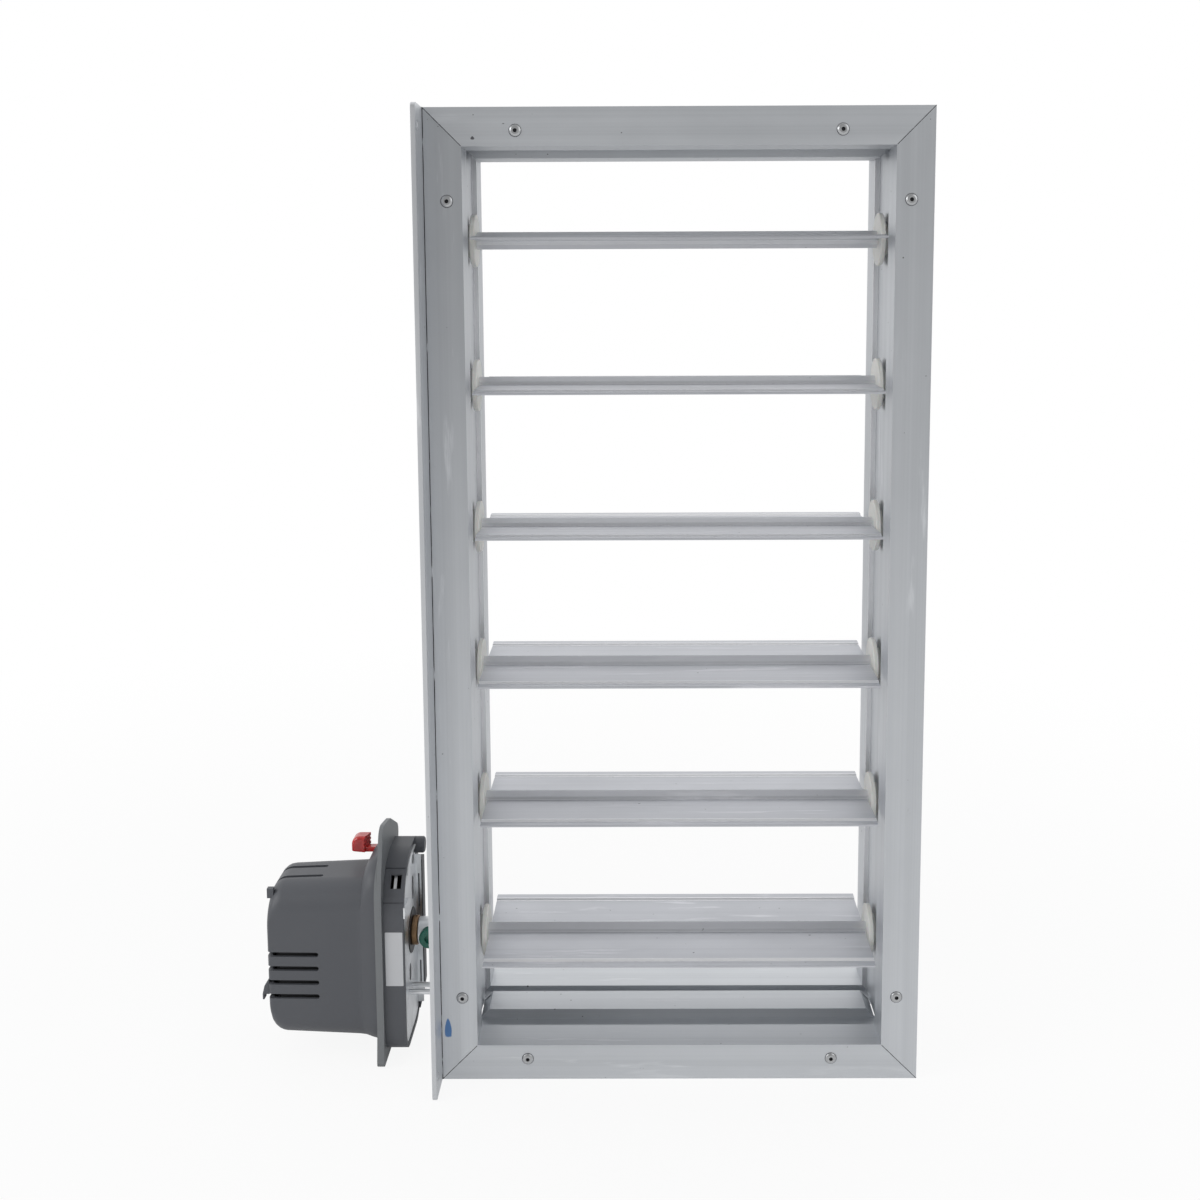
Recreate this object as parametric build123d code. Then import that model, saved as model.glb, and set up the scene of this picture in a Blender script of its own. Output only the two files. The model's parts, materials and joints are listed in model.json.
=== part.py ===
from build123d import *
from math import atan2, cos, degrees, pi, radians, sin, sqrt, tan
import os

# Volume control damper: opposed blades geared together in an aluminium frame,
# driven by a direct-coupled rotary actuator.  Millimetres, +Z up, air flows along Y.
# The origin is the middle of the side plate's outer face.

# ---- air opening and frame members ----
blade_count = 6
blade_pitch = 100.0
end_margin = 58.5  # from the first and last blade axis to the edge of the opening
opening_width = 282.0
frame_depth = 110.0
flange_width = 25.0
frame_wall = 1.5
land_width = 27.0  # raised band of the web behind each flange
recess_drop = 3.2  # how far the middle of the web lies behind the bands
lip_width = 9.0  # return lip at the outer edge of each flange
stop_width = 26.0  # blade stop ridge on the rails
stop_height = 7.0

# ---- corner joints ----
rivet_from_corner = 60.0
rivet_from_edge = 15.0
rivet_shank_d = 4.0
rivet_head_d = 7.8
rivet_head_height = 1.4
rivet_bore_d = 2.6
rivet_tail_d = 5.2
rivet_tail_length = 2.4
rivet_fit = 0.05  # radial
bracket_leg = 75.0
bracket_thickness = 1.5
bracket_inset = 3.0  # bracket edge to the outer edge and to the opening's edge

# ---- side plate on the drive side ----
plate_thickness = 3.0
plate_margin = 28.0  # how far it stands out past the frame's front and rear
plate_corner_r = 4.0
plate_hole_d = 6.0
plate_hole_from_edge = 9.0
plate_hole_from_end = 13.5
screw_d = 4.0
screw_head_d = 7.6
screw_head_height = 1.9
screw_length = 9.0
screw_socket_d = 2.6
screw_spacing = 160.0
screw_rows = 4
screw_fit = 0.1

# ---- blades ----
blade_chord = 105.0
blade_wall = 1.5
blade_end_gap = 1.1  # blade plate to thrust disc
edge_lip = 6.5
edge_offset = 1.25
edge_slope = 1.6
rest_tilt = 1.2  # degrees, opposite on neighbouring blades
hub_hex_af = 10.4
peg_hex_af = 7.6
peg_fit = 0.1
peg_depth = 40.0

# ---- nylon gears, discs and bushes ----
disc_d = 36.0
disc_thickness = 3.5
disc_stand_off = 2.9  # disc face proud of the raised bands
journal_d = 22.0
journal_fit = 0.075  # radial, in the web's holes
gear_module = 2.0
gear_width = 8.0
gear_web = 4.0
gear_rim = 6.0
gear_hub_d = 34.0
gear_backlash = 0.36
gear_gap = 1.0  # gear to the web
root_clearance = 0.5
pressure_angle = 20.0
bush_tail = 3.5
groove_d = 18.0
groove_width = 1.5
clip_d = 28.0
clip_fit = 0.1
clip_mouth = 12.0
clip_gap = 0.6  # clip to the web

# ---- drive shaft, bearing and coupling ----
shaft_d = 12.0
shaft_fit = 0.075
shoulder_gap = 0.3
bearing_d = 16.0
bearing_flange_d = 24.0
bearing_flange = 2.0
sleeve_d = 19.0
sleeve_gap = 1.0  # sleeve to the side plate
sleeve_length = 19.5
sleeve_fit = 0.05
sleeve_chamfer = 0.6
bolt_head_d = 14.6
bolt_head_height = 6.0
bolt_edge_r = 1.2
bolt_socket_af = 6.0
bolt_socket_depth = 3.0
bolt_thread_d = 6.0
bolt_thread_fit = 0.05
bolt_from_plate = 11.0
ring_d = 21.0
ring_length = 4.4
ring_chamfer = 0.5
ring_bore_d = 14.0
hub_d = 32.0
hub_collar_d = 27.0
hub_length = 8.5
hub_waist = 2.6
hub_stem_d = 28.0
hub_stem_length = 12.0

# ---- actuator housing, in its own axes: x with the shaft, z up its long side ----
actuator_offset_y = -3.5  # from the shaft's axis to the housing's middle
actuator_offset_z = -7.0
base_gap = 25.0  # base to the side plate
base_depth = 15.0
base_half_width = 34.0
base_half_height = 70.0
base_lift = 0.75  # base's middle above the housing's
base_corners = [(-1, 1, 40.0), (1, 1, 14.0), (-1, -1, 15.0), (1, -1, 24.0)]  # side, level, radius
base_wall = 3.5
far_wall = 10.0  # the rear wall is thick and stands out past the others
far_wall_rise = 4.5
far_wall_top = 52.0
far_wall_bend = -44.5  # below this it runs back to the base's face
boss_y = 23.5
boss_z = 64.0
boss_r = 6.0
boss_rise = 7.0
boss_chamfer = 1.0
shoulder_grooves = [126.0, 161.0]  # degrees round the large corner
shoulder_groove_width = 1.0
shoulder_groove_depth = 0.6
window_angle = 140.0
window_length = 7.7
window_height = 10.0
window_from_face = 2.5

# ---- back plate let into the base ----
back_plate_thickness = 1.2
back_plate_recess = 0.5
back_plate_fit = 0.2
plate_slot_width = 7.0
plate_slots = [(13.8, 57.2, 8.0), (9.6, 37.0, 17.4), (-8.0, -19.5, 12.2)]  # y, z, length
plate_hole_small_d = 1.6
plate_small_holes = [(-18.9, -34.8), (-18.9, -37.8)]
plate_fold_rise = 1.2  # fold along the shoulder, past the base's face
plate_fold_low = 58.0
plate_clip_length = 16.5  # clip bent over the front rim
plate_clip_width = 8.0
plate_clip_z = 37.0
plate_clip_thickness = 1.0
plate_tab_width = 16.0  # tab bent in behind the window
plate_tab_bar = 2.1
plate_tab_margin = 1.8

# ---- housing's flange, with a hanger above and a foot below ----
flange_thickness = 5.0
flange_half_width = 37.0
flange_half_height = 71.0
flange_lift = 1.0
flange_corner_r = 26.0
hanger_thickness = 3.0
# the hanger's rounded corners: y, z, radius
hanger_circles = [(-16.5, 13.0, 10.0), (3.5, 10.5, 9.0), (28.0, -2.5, 9.0), (-24.5, -15.0, 10.0)]
foot_circles = [(-36.5, -1.5, 4.0), (-8.5, -1.5, 4.0), (-32.0, 20.0, 5.0), (-5.0, 15.0, 5.0)]

# ---- cover ----
cover_length = 78.0
cover_half_width = 33.0
cover_half_height = 59.0
cover_end_half_width = 31.0
cover_end_half_height = 56.3
cover_drop = 3.0  # cover's middle below the housing's
cover_corner_r = 20.0
cover_wall = 2.5
end_round_length = 10.5
end_round_height = 12.0
end_edge_r = 2.5
round_steps = 6
flare_depth = 15.0  # hollow flare at the sides and the bottom
flare = 3.1
collar_depth = 10.7  # rounded rise at the top
collar_rise = 15.5
slot_height = 3.4
slot_length = 36.6
slot_pitch = 10.4
slot_first = 5.4
side_slots = 4
top_slot_places = [-9.5, 7.0, 18.5]
slot_inward = 6.0  # how far a slot's cut reaches in past the wall
nib_y = -22.0
nib_width = 4.0
nib_top = 51.0
nib_height = 7.0
nib_length = 4.5
nib_reach = 0.6
latch_reach = 5.2
latch_height = 12.0
latch_width = 6.0
latch_y = -25.0
latch_z = -20.0
latch_prong = 1.4
latch_tip = 4.0  # the prong's length below the latch

# ---- inside the housing, and its rods ----
motor_side_gap = 1.0  # to the thick rear wall
motor_width = 2 * (base_half_width - far_wall - motor_side_gap)
motor_height = 72.0
motor_length = 48.0
motor_corner_r = 6.0
motor_gap = 0.8
motor_z = 7.0
motor_can_d = 30.0
motor_can_length = 14.0
motor_can_drop = 18.0
board_thickness = 1.6
board_half_width = 25.0
board_half_height = 44.0
board_corner_r = 3.0
board_gap = 5.0
rod_d = 4.0
rod_spacing = 10.0
rod_z = -32.0
rod_y = -13.3
rod_fit = 0.1
rod_depth = 6.0
hub_gap = 0.4

# ---- manual release lever ----
lever_length = 12.7
lever_height = 11.8
lever_width = 10.0
lever_slope = 1.3  # its underside rises towards the free end
lever_side_slant = 3.0
lever_y = 13.5
lever_r = 5.8
lever_front_r = 2.5
lever_gap = 7.8  # lever to the cover
lever_from_flange = 12.0
lever_stem = 9.2
lever_stem_width = 6.0
lever_stem_height = 3.6
lever_press = 10.0  # degrees
stem_room = 0.6
lever_ribs = 3
lever_rib_pitch = 3.0
lever_rib_width = 1.2
lever_rib_depth = 0.5
pivot_pin_d = 2.2
pivot_fit = 0.05
pivot_boss_d = 4.6
ear_thickness = 2.2
ear_gap = 0.4
ear_height = 4.6
ear_length = 5.2

# ---- worked out from the sizes above ----
opening_height = (blade_count - 1) * blade_pitch + 2 * end_margin
frame_width = opening_width + 2 * flange_width
frame_height = opening_height + 2 * flange_width
frame_x = plate_thickness + frame_width / 2
half_depth = frame_depth / 2
blade_z = [((blade_count - 1) / 2 - i) * blade_pitch for i in range(blade_count)]
web_back = recess_drop + frame_wall  # from the raised bands to the channel side of the web
left_edge = frame_x - opening_width / 2
right_edge = frame_x + opening_width / 2
disc_face_left = left_edge + disc_stand_off
disc_face_right = right_edge - disc_stand_off
disc_back_left = disc_face_left - disc_thickness
disc_back_right = disc_face_right + disc_thickness
gear_face = left_edge - web_back - gear_gap
gear_outer = gear_face - gear_width
gear_pitch_r = blade_pitch / 2
gear_teeth = round(blade_pitch / gear_module)
drive_z = blade_z[-1]
sleeve_start = -sleeve_gap - sleeve_length


def cylinder_x(radius, start, end, y=0.0, z=0.0):
    # A round bar along X.
    return Pos((start + end) / 2, y, z) * Rot(0, 90, 0) * Cylinder(radius, end - start)


def hex_x(across_flats, start, end, z=0.0, turn=0.0):
    # A hexagon bar along X with a corner at the top when turn is zero.
    corner_r = across_flats / 2 / cos(radians(30))
    outline = Plane((start, 0, z), x_dir=(0, 1, 0), z_dir=(1, 0, 0)) * Rot(0, 0, 90 + turn)
    return extrude(outline * RegularPolygon(corner_r, 6), end - start)


def rounded_slab(start, thickness, half_width, half_height, corner_r, middle=0.0):
    # A plate across X with rounded corners.
    face = Plane((start, 0, middle), x_dir=(0, 1, 0), z_dir=(1, 0, 0))
    return extrude(face * RectangleRounded(2 * half_width, 2 * half_height, corner_r), thickness)


# ---- frame ----
def member_section(with_stop):
    # Visible side of the wall, from one return lip round to the other: depth, then outwards.
    band = half_depth - land_width
    ridge = [
        (-stop_width / 2, recess_drop),
        (-stop_width / 2, recess_drop - stop_height),
        (stop_width / 2, recess_drop - stop_height),
        (stop_width / 2, recess_drop),
    ]
    line = Polyline(
        (-half_depth + lip_width, flange_width),
        (-half_depth, flange_width),
        (-half_depth, 0),
        (-band, 0),
        (-band, recess_drop),
        *(ridge if with_stop else []),
        (band, recess_drop),
        (band, 0),
        (half_depth, 0),
        (half_depth, flange_width),
        (half_depth - lip_width, flange_width),
    )
    wall = offset(line, frame_wall, kind=Kind.INTERSECTION, side=Side.LEFT)
    return make_face(wall.edges())


def frame_member(opening_length, with_stop):
    # Extruded along local Z; both ends are cut at 45 degrees.
    half_length = opening_length / 2 + flange_width
    bar = extrude(member_section(with_stop), half_length, both=True)
    inner = opening_length / 2 - stop_height
    mitre = Polyline(
        (-stop_height, -inner),
        (-stop_height, inner),
        (flange_width, half_length),
        (flange_width, -half_length),
        close=True,
    )
    side_view = Plane((-half_depth, 0, 0), x_dir=(0, 1, 0), z_dir=(1, 0, 0))
    return bar & extrude(side_view * make_face(mitre), frame_depth)


def rivet_places():
    # X and Z of the rivets, the same on the front and the rear flange.
    along_rail = frame_width / 2 - rivet_from_corner
    rail_z = frame_height / 2 - rivet_from_edge
    along_stile = frame_height / 2 - rivet_from_corner
    stile_x = frame_width / 2 - rivet_from_edge
    rails = [(frame_x + sx * along_rail, sz * rail_z) for sx in (-1, 1) for sz in (-1, 1)]
    stiles = [(frame_x + sx * stile_x, sz * along_stile) for sx in (-1, 1) for sz in (-1, 1)]
    return rails + stiles


def rivet_holes():
    radius = rivet_shank_d / 2 + rivet_fit
    hole = Rot(90, 0, 0) * Cylinder(radius, frame_depth + 2 * frame_wall)
    return [Pos(x, 0, z) * hole for x, z in rivet_places()]


def plate_screw_places():
    # Y and Z of the screws that hold the side plate to the left stile's return lips.
    row = half_depth - lip_width / 2
    first = (screw_rows - 1) / 2 * screw_spacing
    return [(sy * row, first - i * screw_spacing) for sy in (-1, 1) for i in range(screw_rows)]


def make_rail(side):
    place = Plane((frame_x, 0, side * opening_height / 2), x_dir=(0, 1, 0), z_dir=(side, 0, 0))
    rail = place.location * frame_member(opening_width, with_stop=True)
    return rail - rivet_holes()


def make_stile(side):
    edge = frame_x + side * opening_width / 2
    place = Plane((edge, 0, 0), x_dir=(0, 1, 0), z_dir=(0, 0, -side))
    stile = place.location * frame_member(opening_height, with_stop=False)
    web = edge + side * web_back
    bore_r = journal_d / 2 + journal_fit
    bores = [cylinder_x(bore_r, min(edge, web) - 1, max(edge, web) + 1, 0, z) for z in blade_z]
    stile = stile - rivet_holes() - bores
    if side < 0:
        hole_r = screw_d / 2 + screw_fit
        lip = plate_thickness + frame_wall
        stile -= [cylinder_x(hole_r, plate_thickness - 1, lip + 1, y, z) for y, z in plate_screw_places()]
    return stile


def make_brackets(side):
    # Flat L plates behind the flanges, one in each corner.
    near = bracket_inset
    far = flange_width - bracket_inset
    outline = Polyline(
        (near, near),
        (bracket_leg, near),
        (bracket_leg, far),
        (far, far),
        (far, bracket_leg),
        (near, bracket_leg),
        close=True,
    )
    upright = Plane((plate_thickness, 0, -frame_height / 2), x_dir=(1, 0, 0), z_dir=(0, -1, 0))
    inner_face = half_depth - frame_wall
    start = bracket_thickness - inner_face if side < 0 else inner_face
    corner = Pos(0, start, 0) * extrude(upright * make_face(outline), bracket_thickness)
    middle = Plane((frame_x, 0, 0), x_dir=(0, 1, 0), z_dir=(1, 0, 0))
    pair = [corner, mirror(corner, middle)]
    four = pair + [mirror(piece, Plane.XY) for piece in pair]
    holes = rivet_holes()
    return Compound(children=[piece - holes for piece in four])


def make_rivets(side):
    # Hollow blind rivets: domed head outside, bulbed tail behind the bracket.
    grip = frame_wall + bracket_thickness
    shank_r = rivet_shank_d / 2
    head_r = rivet_head_d / 2
    bore_r = rivet_bore_d / 2
    tail_r = rivet_tail_d / 2
    outline = Polyline(
        (bore_r, -rivet_head_height),
        (head_r - rivet_head_height, -rivet_head_height),
        (head_r, -rivet_head_height / 4),
        (head_r, 0),
        (shank_r, 0),
        (shank_r, grip),
        (tail_r, grip),
        (tail_r, grip + rivet_tail_length - 0.6),
        (tail_r - 0.8, grip + rivet_tail_length),
        (bore_r, grip + rivet_tail_length),
        close=True,
    )
    rivet = revolve(make_face(outline), Axis.Y)
    turned = rivet if side < 0 else mirror(rivet, Plane.XZ)
    return Compound(children=[Pos(x, side * half_depth, z) * turned for x, z in rivet_places()])


# ---- side plate ----
def make_side_plate():
    half_width = half_depth + plate_margin
    plate = rounded_slab(0, plate_thickness, half_width, frame_height / 2, plate_corner_r)
    hole_y = half_width - plate_hole_from_edge
    hole_z = frame_height / 2 - plate_hole_from_end
    corners = [(sy * hole_y, sz * hole_z) for sy in (-1, 1) for sz in (-1, 1)]
    cuts = [cylinder_x(plate_hole_d / 2, -1, plate_thickness + 1, y, z) for y, z in corners]
    cuts.append(cylinder_x(bearing_d / 2, -1, plate_thickness + 1, 0, drive_z))
    for y, z in plate_screw_places():
        cuts.append(cylinder_x(screw_d / 2 + screw_fit, -1, plate_thickness + 1, y, z))
        cuts.append(Pos(0, y, z) * Rot(0, 90, 0) * countersink(screw_fit))
    return plate - cuts


def countersink(gap):
    # Cone of a flat screw head, from the plate's face inwards.
    top = screw_head_d / 2 + gap
    bottom = screw_d / 2 + gap
    return Pos(0, 0, screw_head_height / 2) * Cone(top, bottom, screw_head_height)


def make_plate_screws():
    shank = Pos(0, 0, screw_length / 2) * Cylinder(screw_d / 2, screw_length)
    socket = Pos(0, 0, screw_head_height / 2) * Cylinder(screw_socket_d / 2, screw_head_height)
    screw = Rot(0, 90, 0) * (shank + countersink(0) - socket)
    return Compound(children=[Pos(0, y, z) * screw for y, z in plate_screw_places()])


def make_shaft_bearing():
    body = cylinder_x(bearing_d / 2, 0, plate_thickness, 0, drive_z)
    flange_end = plate_thickness + bearing_flange
    body += cylinder_x(bearing_flange_d / 2, plate_thickness, flange_end, 0, drive_z)
    return body - cylinder_x(shaft_d / 2 + shaft_fit, -1, flange_end + 1, 0, drive_z)


# ---- blades ----
def blade_tilt(index):
    # Neighbouring blades lean opposite ways; the drive blade's front edge is down.
    return rest_tilt if (blade_count - 1 - index) % 2 == 0 else -rest_tilt


def blade_section():
    # Plate with a stepped lip along each edge: front lip down, rear lip up.
    half = blade_chord / 2
    step = half - edge_lip
    flat = step - edge_slope
    centre = [(-half, -edge_offset), (-step, -edge_offset), (-flat, 0)]
    centre += [(-y, -z) for y, z in reversed(centre)]
    rise = blade_wall / 2
    upper = [(y, z + rise) for y, z in centre]
    lower = [(y, z - rise) for y, z in reversed(centre)]
    return make_face(Polyline(*upper, *lower, close=True))


def make_blade(index):
    place = Plane((disc_face_left + blade_end_gap, 0, 0), x_dir=(0, 1, 0), z_dir=(1, 0, 0))
    length = disc_face_right - disc_face_left - 2 * blade_end_gap
    blade = extrude(place * blade_section(), length)
    blade += hex_x(hub_hex_af, disc_face_left, disc_face_right)
    blade -= hex_x(peg_hex_af + 2 * peg_fit, disc_face_left - 1, disc_face_right + 1)
    return Pos(0, 0, blade_z[index]) * Rot(blade_tilt(index), 0, 0) * blade


# ---- gears, discs, bushes and clips ----
def gear_outline(phase):
    # Straight-flanked teeth; neighbouring gears are half a tooth apart.
    tip_r = gear_pitch_r + gear_module
    root_r = gear_pitch_r - gear_module - root_clearance
    half_pitch = pi * gear_pitch_r / gear_teeth / 2 - gear_backlash / 2
    slope = tan(radians(pressure_angle))
    half_tip = half_pitch - (tip_r - gear_pitch_r) * slope
    half_root = half_pitch + (gear_pitch_r - root_r) * slope
    corners = [(root_r, -half_root), (tip_r, -half_tip), (tip_r, half_tip), (root_r, half_root)]
    points = []
    for tooth in range(gear_teeth):
        middle = 2 * pi * (tooth + phase) / gear_teeth + pi / 2
        for radius, offset_along in corners:
            angle = middle + offset_along / radius
            points.append((radius * cos(angle), radius * sin(angle)))
    return make_face(Polyline(*points, close=True))


def make_gear(index):
    z = blade_z[index]
    turn = blade_tilt(index)
    phase = index % 2 / 2
    place = Plane((gear_outer, 0, z), x_dir=(0, 1, 0), z_dir=(1, 0, 0))
    gear = extrude(place * gear_outline(phase), gear_width)
    root_r = gear_pitch_r - gear_module - root_clearance
    recess_end = gear_outer + gear_width - gear_web
    pocket = cylinder_x(root_r - gear_rim, gear_outer, recess_end, 0, z)
    gear -= pocket - cylinder_x(gear_hub_d / 2, gear_outer, recess_end, 0, z)
    gear += cylinder_x(journal_d / 2, gear_face, disc_back_left, 0, z)
    if index == blade_count - 1:
        return gear - hex_x(peg_hex_af + 2 * peg_fit, gear_outer - 1, disc_back_left + 1, z, turn)
    return gear + hex_x(peg_hex_af, disc_back_left, disc_face_left + peg_depth, z, turn)


def make_thrust_disc(index):
    z = blade_z[index]
    disc = cylinder_x(disc_d / 2, disc_back_left, disc_face_left, 0, z)
    disc = chamfer(disc.edges().filter_by(GeomType.CIRCLE), 0.5)
    fit = peg_hex_af + 2 * peg_fit
    return disc - hex_x(fit, disc_back_left - 1, disc_face_left + 1, z, blade_tilt(index))


def make_bush(index):
    # Right-hand pivot: disc, journal with a clip groove, and a hexagon peg into the blade.
    z = blade_z[index]
    web_outer = right_edge + web_back
    end = web_outer + bush_tail
    disc = cylinder_x(disc_d / 2, disc_face_right, disc_back_right, 0, z)
    disc = chamfer(disc.edges().filter_by(GeomType.CIRCLE), 0.5)
    bush = disc + cylinder_x(journal_d / 2, disc_back_right, end, 0, z)
    groove_start = web_outer + clip_gap
    ring = cylinder_x(journal_d / 2 + 1, groove_start, groove_start + groove_width, 0, z)
    ring -= cylinder_x(groove_d / 2, groove_start, groove_start + groove_width, 0, z)
    turn = blade_tilt(index)
    return bush - ring + hex_x(peg_hex_af, disc_face_right - peg_depth, disc_face_right, z, turn)


def make_clip(index):
    # Open ring snapped into the bush's groove.
    z = blade_z[index]
    start = right_edge + web_back + clip_gap + clip_fit
    end = start + groove_width - 2 * clip_fit
    ring = cylinder_x(clip_d / 2, start, end, 0, z)
    ring -= cylinder_x(groove_d / 2 + clip_fit, start - 1, end + 1, 0, z)
    mouth = Pos((start + end) / 2, 0, z - clip_d / 2) * Box(groove_width, clip_mouth, clip_d)
    return ring - mouth


# ---- drive line, turning with the drive blade ----
def make_drive_shaft():
    shoulder = gear_outer - shoulder_gap
    bar = cylinder_x(shaft_d / 2, sleeve_start, shoulder, 0, drive_z)
    tip = disc_face_left + peg_depth
    return bar + hex_x(peg_hex_af, shoulder, tip, drive_z, blade_tilt(blade_count - 1))


def clamp_bolt_axis(start, end, radius):
    middle = (start + end) / 2
    return Pos(-bolt_from_plate, middle, drive_z) * Rot(90, 0, 0) * Cylinder(radius, end - start)


def make_sleeve():
    sleeve = cylinder_x(sleeve_d / 2, sleeve_start, -sleeve_gap, 0, drive_z)
    sleeve = chamfer(sleeve.edges().filter_by(GeomType.CIRCLE), sleeve_chamfer)
    sleeve -= cylinder_x(shaft_d / 2 + sleeve_fit, sleeve_start - 1, 0, 0, drive_z)
    return sleeve - clamp_bolt_axis(-sleeve_d, 0, bolt_thread_d / 2 + bolt_thread_fit)


def make_clamp_bolt():
    seat = -sleeve_d / 2
    bolt = clamp_bolt_axis(seat - bolt_head_height, seat, bolt_head_d / 2)
    bolt = fillet(bolt.edges().group_by(Axis.Y)[0], bolt_edge_r)
    bolt += clamp_bolt_axis(seat, -shaft_d / 2 - sleeve_fit, bolt_thread_d / 2)
    socket_plane = Plane(
        (-bolt_from_plate, seat - bolt_head_height, drive_z), x_dir=(1, 0, 0), z_dir=(0, -1, 0)
    )
    corner_r = bolt_socket_af / 2 / cos(radians(30))
    socket = extrude(socket_plane * RegularPolygon(corner_r, 6), -bolt_socket_depth)
    return bolt - socket


def make_hub_ring():
    start = sleeve_start
    ring = cylinder_x(ring_d / 2, start - ring_length, start, 0, drive_z)
    ring = chamfer(ring.edges().filter_by(GeomType.CIRCLE), ring_chamfer)
    return ring - cylinder_x(ring_bore_d / 2, start - ring_length - 1, start + 1, 0, drive_z)


def make_actuator_hub():
    # Two stacked collars on a stem that turns inside the gearmotor.
    end = sleeve_start - ring_length
    waist_start = end - hub_length / 2 - hub_waist / 2
    start = end - hub_length
    hub = cylinder_x(hub_d / 2, start, waist_start, 0, drive_z)
    hub += cylinder_x(hub_collar_d / 2, waist_start, waist_start + hub_waist, 0, drive_z)
    hub += cylinder_x(hub_d / 2, waist_start + hub_waist, end, 0, drive_z)
    hub += cylinder_x(hub_stem_d / 2, start - hub_stem_length, start, 0, drive_z)
    return hub


# ---- actuator housing, fixed to the side plate by its rods ----
base_end = -base_gap
base_start = base_end - base_depth
flange_start = base_start - flange_thickness
cover_start = flange_start - cover_length
far_face = base_half_width - far_wall
lever_bottom = cover_half_height - cover_drop + lever_gap
housing = Pos(0, actuator_offset_y, drive_z + actuator_offset_z)


def shaft_in_housing(radius, start, end):
    # The shaft's round way, in the housing's own axes.
    return housing.inverse() * cylinder_x(radius, start, end, 0, drive_z)


def across(x, middle=0.0):
    # Drawing plane across X: y to the right and z up.
    return Plane((x, 0, middle), x_dir=(0, 1, 0), z_dir=(1, 0, 0))


def along(y):
    # Drawing plane along X and Z; a negative extrusion goes to the rear.
    return Plane((0, y, 0), x_dir=(1, 0, 0), z_dir=(0, -1, 0))


def quarter(distance, length, height):
    # Quarter of an ellipse: starts upright and is level at the end of its length.
    if distance <= 0:
        return 0.0
    left = 1 - min(distance / length, 1.0)
    return height * sqrt(1 - left * left)


def cover_section(x, inset):
    # Rounded outline across X; an inset gives the wall's inner side.
    from_end = x - cover_start - inset
    share = (x - cover_start) / cover_length
    half_width = cover_end_half_width + share * (cover_half_width - cover_end_half_width) - inset
    half_width -= end_edge_r - quarter(from_end, end_edge_r, end_edge_r)
    half_height = cover_end_half_height + share * (cover_half_height - cover_end_half_height) - inset
    round_height = end_round_height - inset
    half_height -= round_height - quarter(from_end, end_round_length - inset, round_height)
    flared = max(0.0, (x - flange_start + flare_depth) / flare_depth)
    spread = flare * flared * flared * (3 - 2 * flared)
    from_collar = x - flange_start + collar_depth - inset
    rise = quarter(from_collar, collar_depth - inset, collar_rise - spread)
    corner_r = cover_corner_r + flared * (flange_corner_r - 1 - cover_corner_r) - inset
    face = across(x, rise / 2 - cover_drop)
    return face * RectangleRounded(2 * (half_width + spread), 2 * (half_height + spread) + rise, corner_r)


def cover_solid(inset):
    # Tapered box, rounded at its far end and flared out to the flange.
    turns = [radians(90 * i / round_steps) for i in range(round_steps + 1)]
    places = [cover_start + inset + (end_round_length - inset) * (1 - cos(turn)) for turn in turns]
    places.append(flange_start - flare_depth)
    collar = collar_depth - inset
    places += [flange_start - collar + collar * (1 - cos(turn)) for turn in turns]
    return loft([cover_section(x, inset) for x in places], ruled=True)


def vent_slots():
    # Slots run in from the rounded end, along both long sides and along the top.
    end = cover_start + slot_length
    middle = end - slot_length
    slot = extrude(SlotOverall(2 * slot_length, slot_height), cover_wall + slot_inward)
    cuts = []
    for i in range(side_slots):
        z = slot_first - i * slot_pitch
        inner_y = cover_end_half_width - cover_wall - slot_inward
        cuts.append(Pos(middle, -inner_y, z) * Rot(90, 0, 0) * scale(slot, (1, 1, 2)))
        cuts.append(Pos(middle, inner_y, z) * Rot(-90, 0, 0) * scale(slot, (1, 1, 2)))
    top = cover_end_half_height - cover_drop - cover_corner_r
    for y in top_slot_places:
        cuts.append(Pos(middle, y, top) * scale(slot, (1, 1, 4)))
    return cuts


def make_cover():
    nib_start = cover_start - nib_reach
    nib_place = Pos(nib_start + nib_length / 2, nib_y, nib_top - nib_height / 2)
    cover = cover_solid(0) + nib_place * Box(nib_length, nib_width, nib_height)
    cover -= cover_solid(cover_wall)
    cover -= vent_slots()
    cover -= lever_room()
    return housing * cover


def hull_of_circles(start, thickness, level, circles):
    # A plate across X, as wide as a cord drawn tight round its circles.
    rings = []
    for y, z, radius in circles:
        rings += CenterArc((y, z), radius, 0, 360).edges()
    return extrude(across(start, level) * make_hull(rings), thickness)


def make_flange():
    # Plate between cover and base, with a hanger above it and a foot below it.
    plate = rounded_slab(
        flange_start, flange_thickness, flange_half_width, flange_half_height, flange_corner_r, flange_lift
    )
    top = flange_lift + flange_half_height
    bottom = flange_lift - flange_half_height
    plate += hull_of_circles(base_start - hanger_thickness, hanger_thickness, top, hanger_circles)
    plate += hull_of_circles(flange_start, flange_thickness, bottom, foot_circles)
    opening = rounded_slab(
        flange_start - 1, flange_thickness + 2, base_half_width - base_wall,
        cover_half_height - cover_wall, cover_corner_r - cover_wall, -cover_drop,
    )
    return housing * (plate - opening + lever_ears())


def base_outline(x, inset=0.0):
    # The base's outline across X, with a radius of its own at each corner.
    wide = base_half_width - inset
    tall = base_half_height - inset
    outline = Rectangle(2 * wide, 2 * tall)
    for side, level, radius in base_corners:
        corner = outline.vertices().sort_by_distance((side * wide, level * tall, 0))[0]
        outline = fillet(corner, radius - inset)
    return across(x, base_lift) * outline


def inside_base(start, length, gap=0.0):
    # Room between the base's walls; the rear wall is the thick one.
    room = extrude(base_outline(start, base_wall + gap), length)
    wide = 2 * base_half_width
    limit = Pos(start + length / 2, far_face - gap - wide / 2, base_lift)
    return room & (limit * Box(length, wide, 2 * base_half_height))


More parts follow.
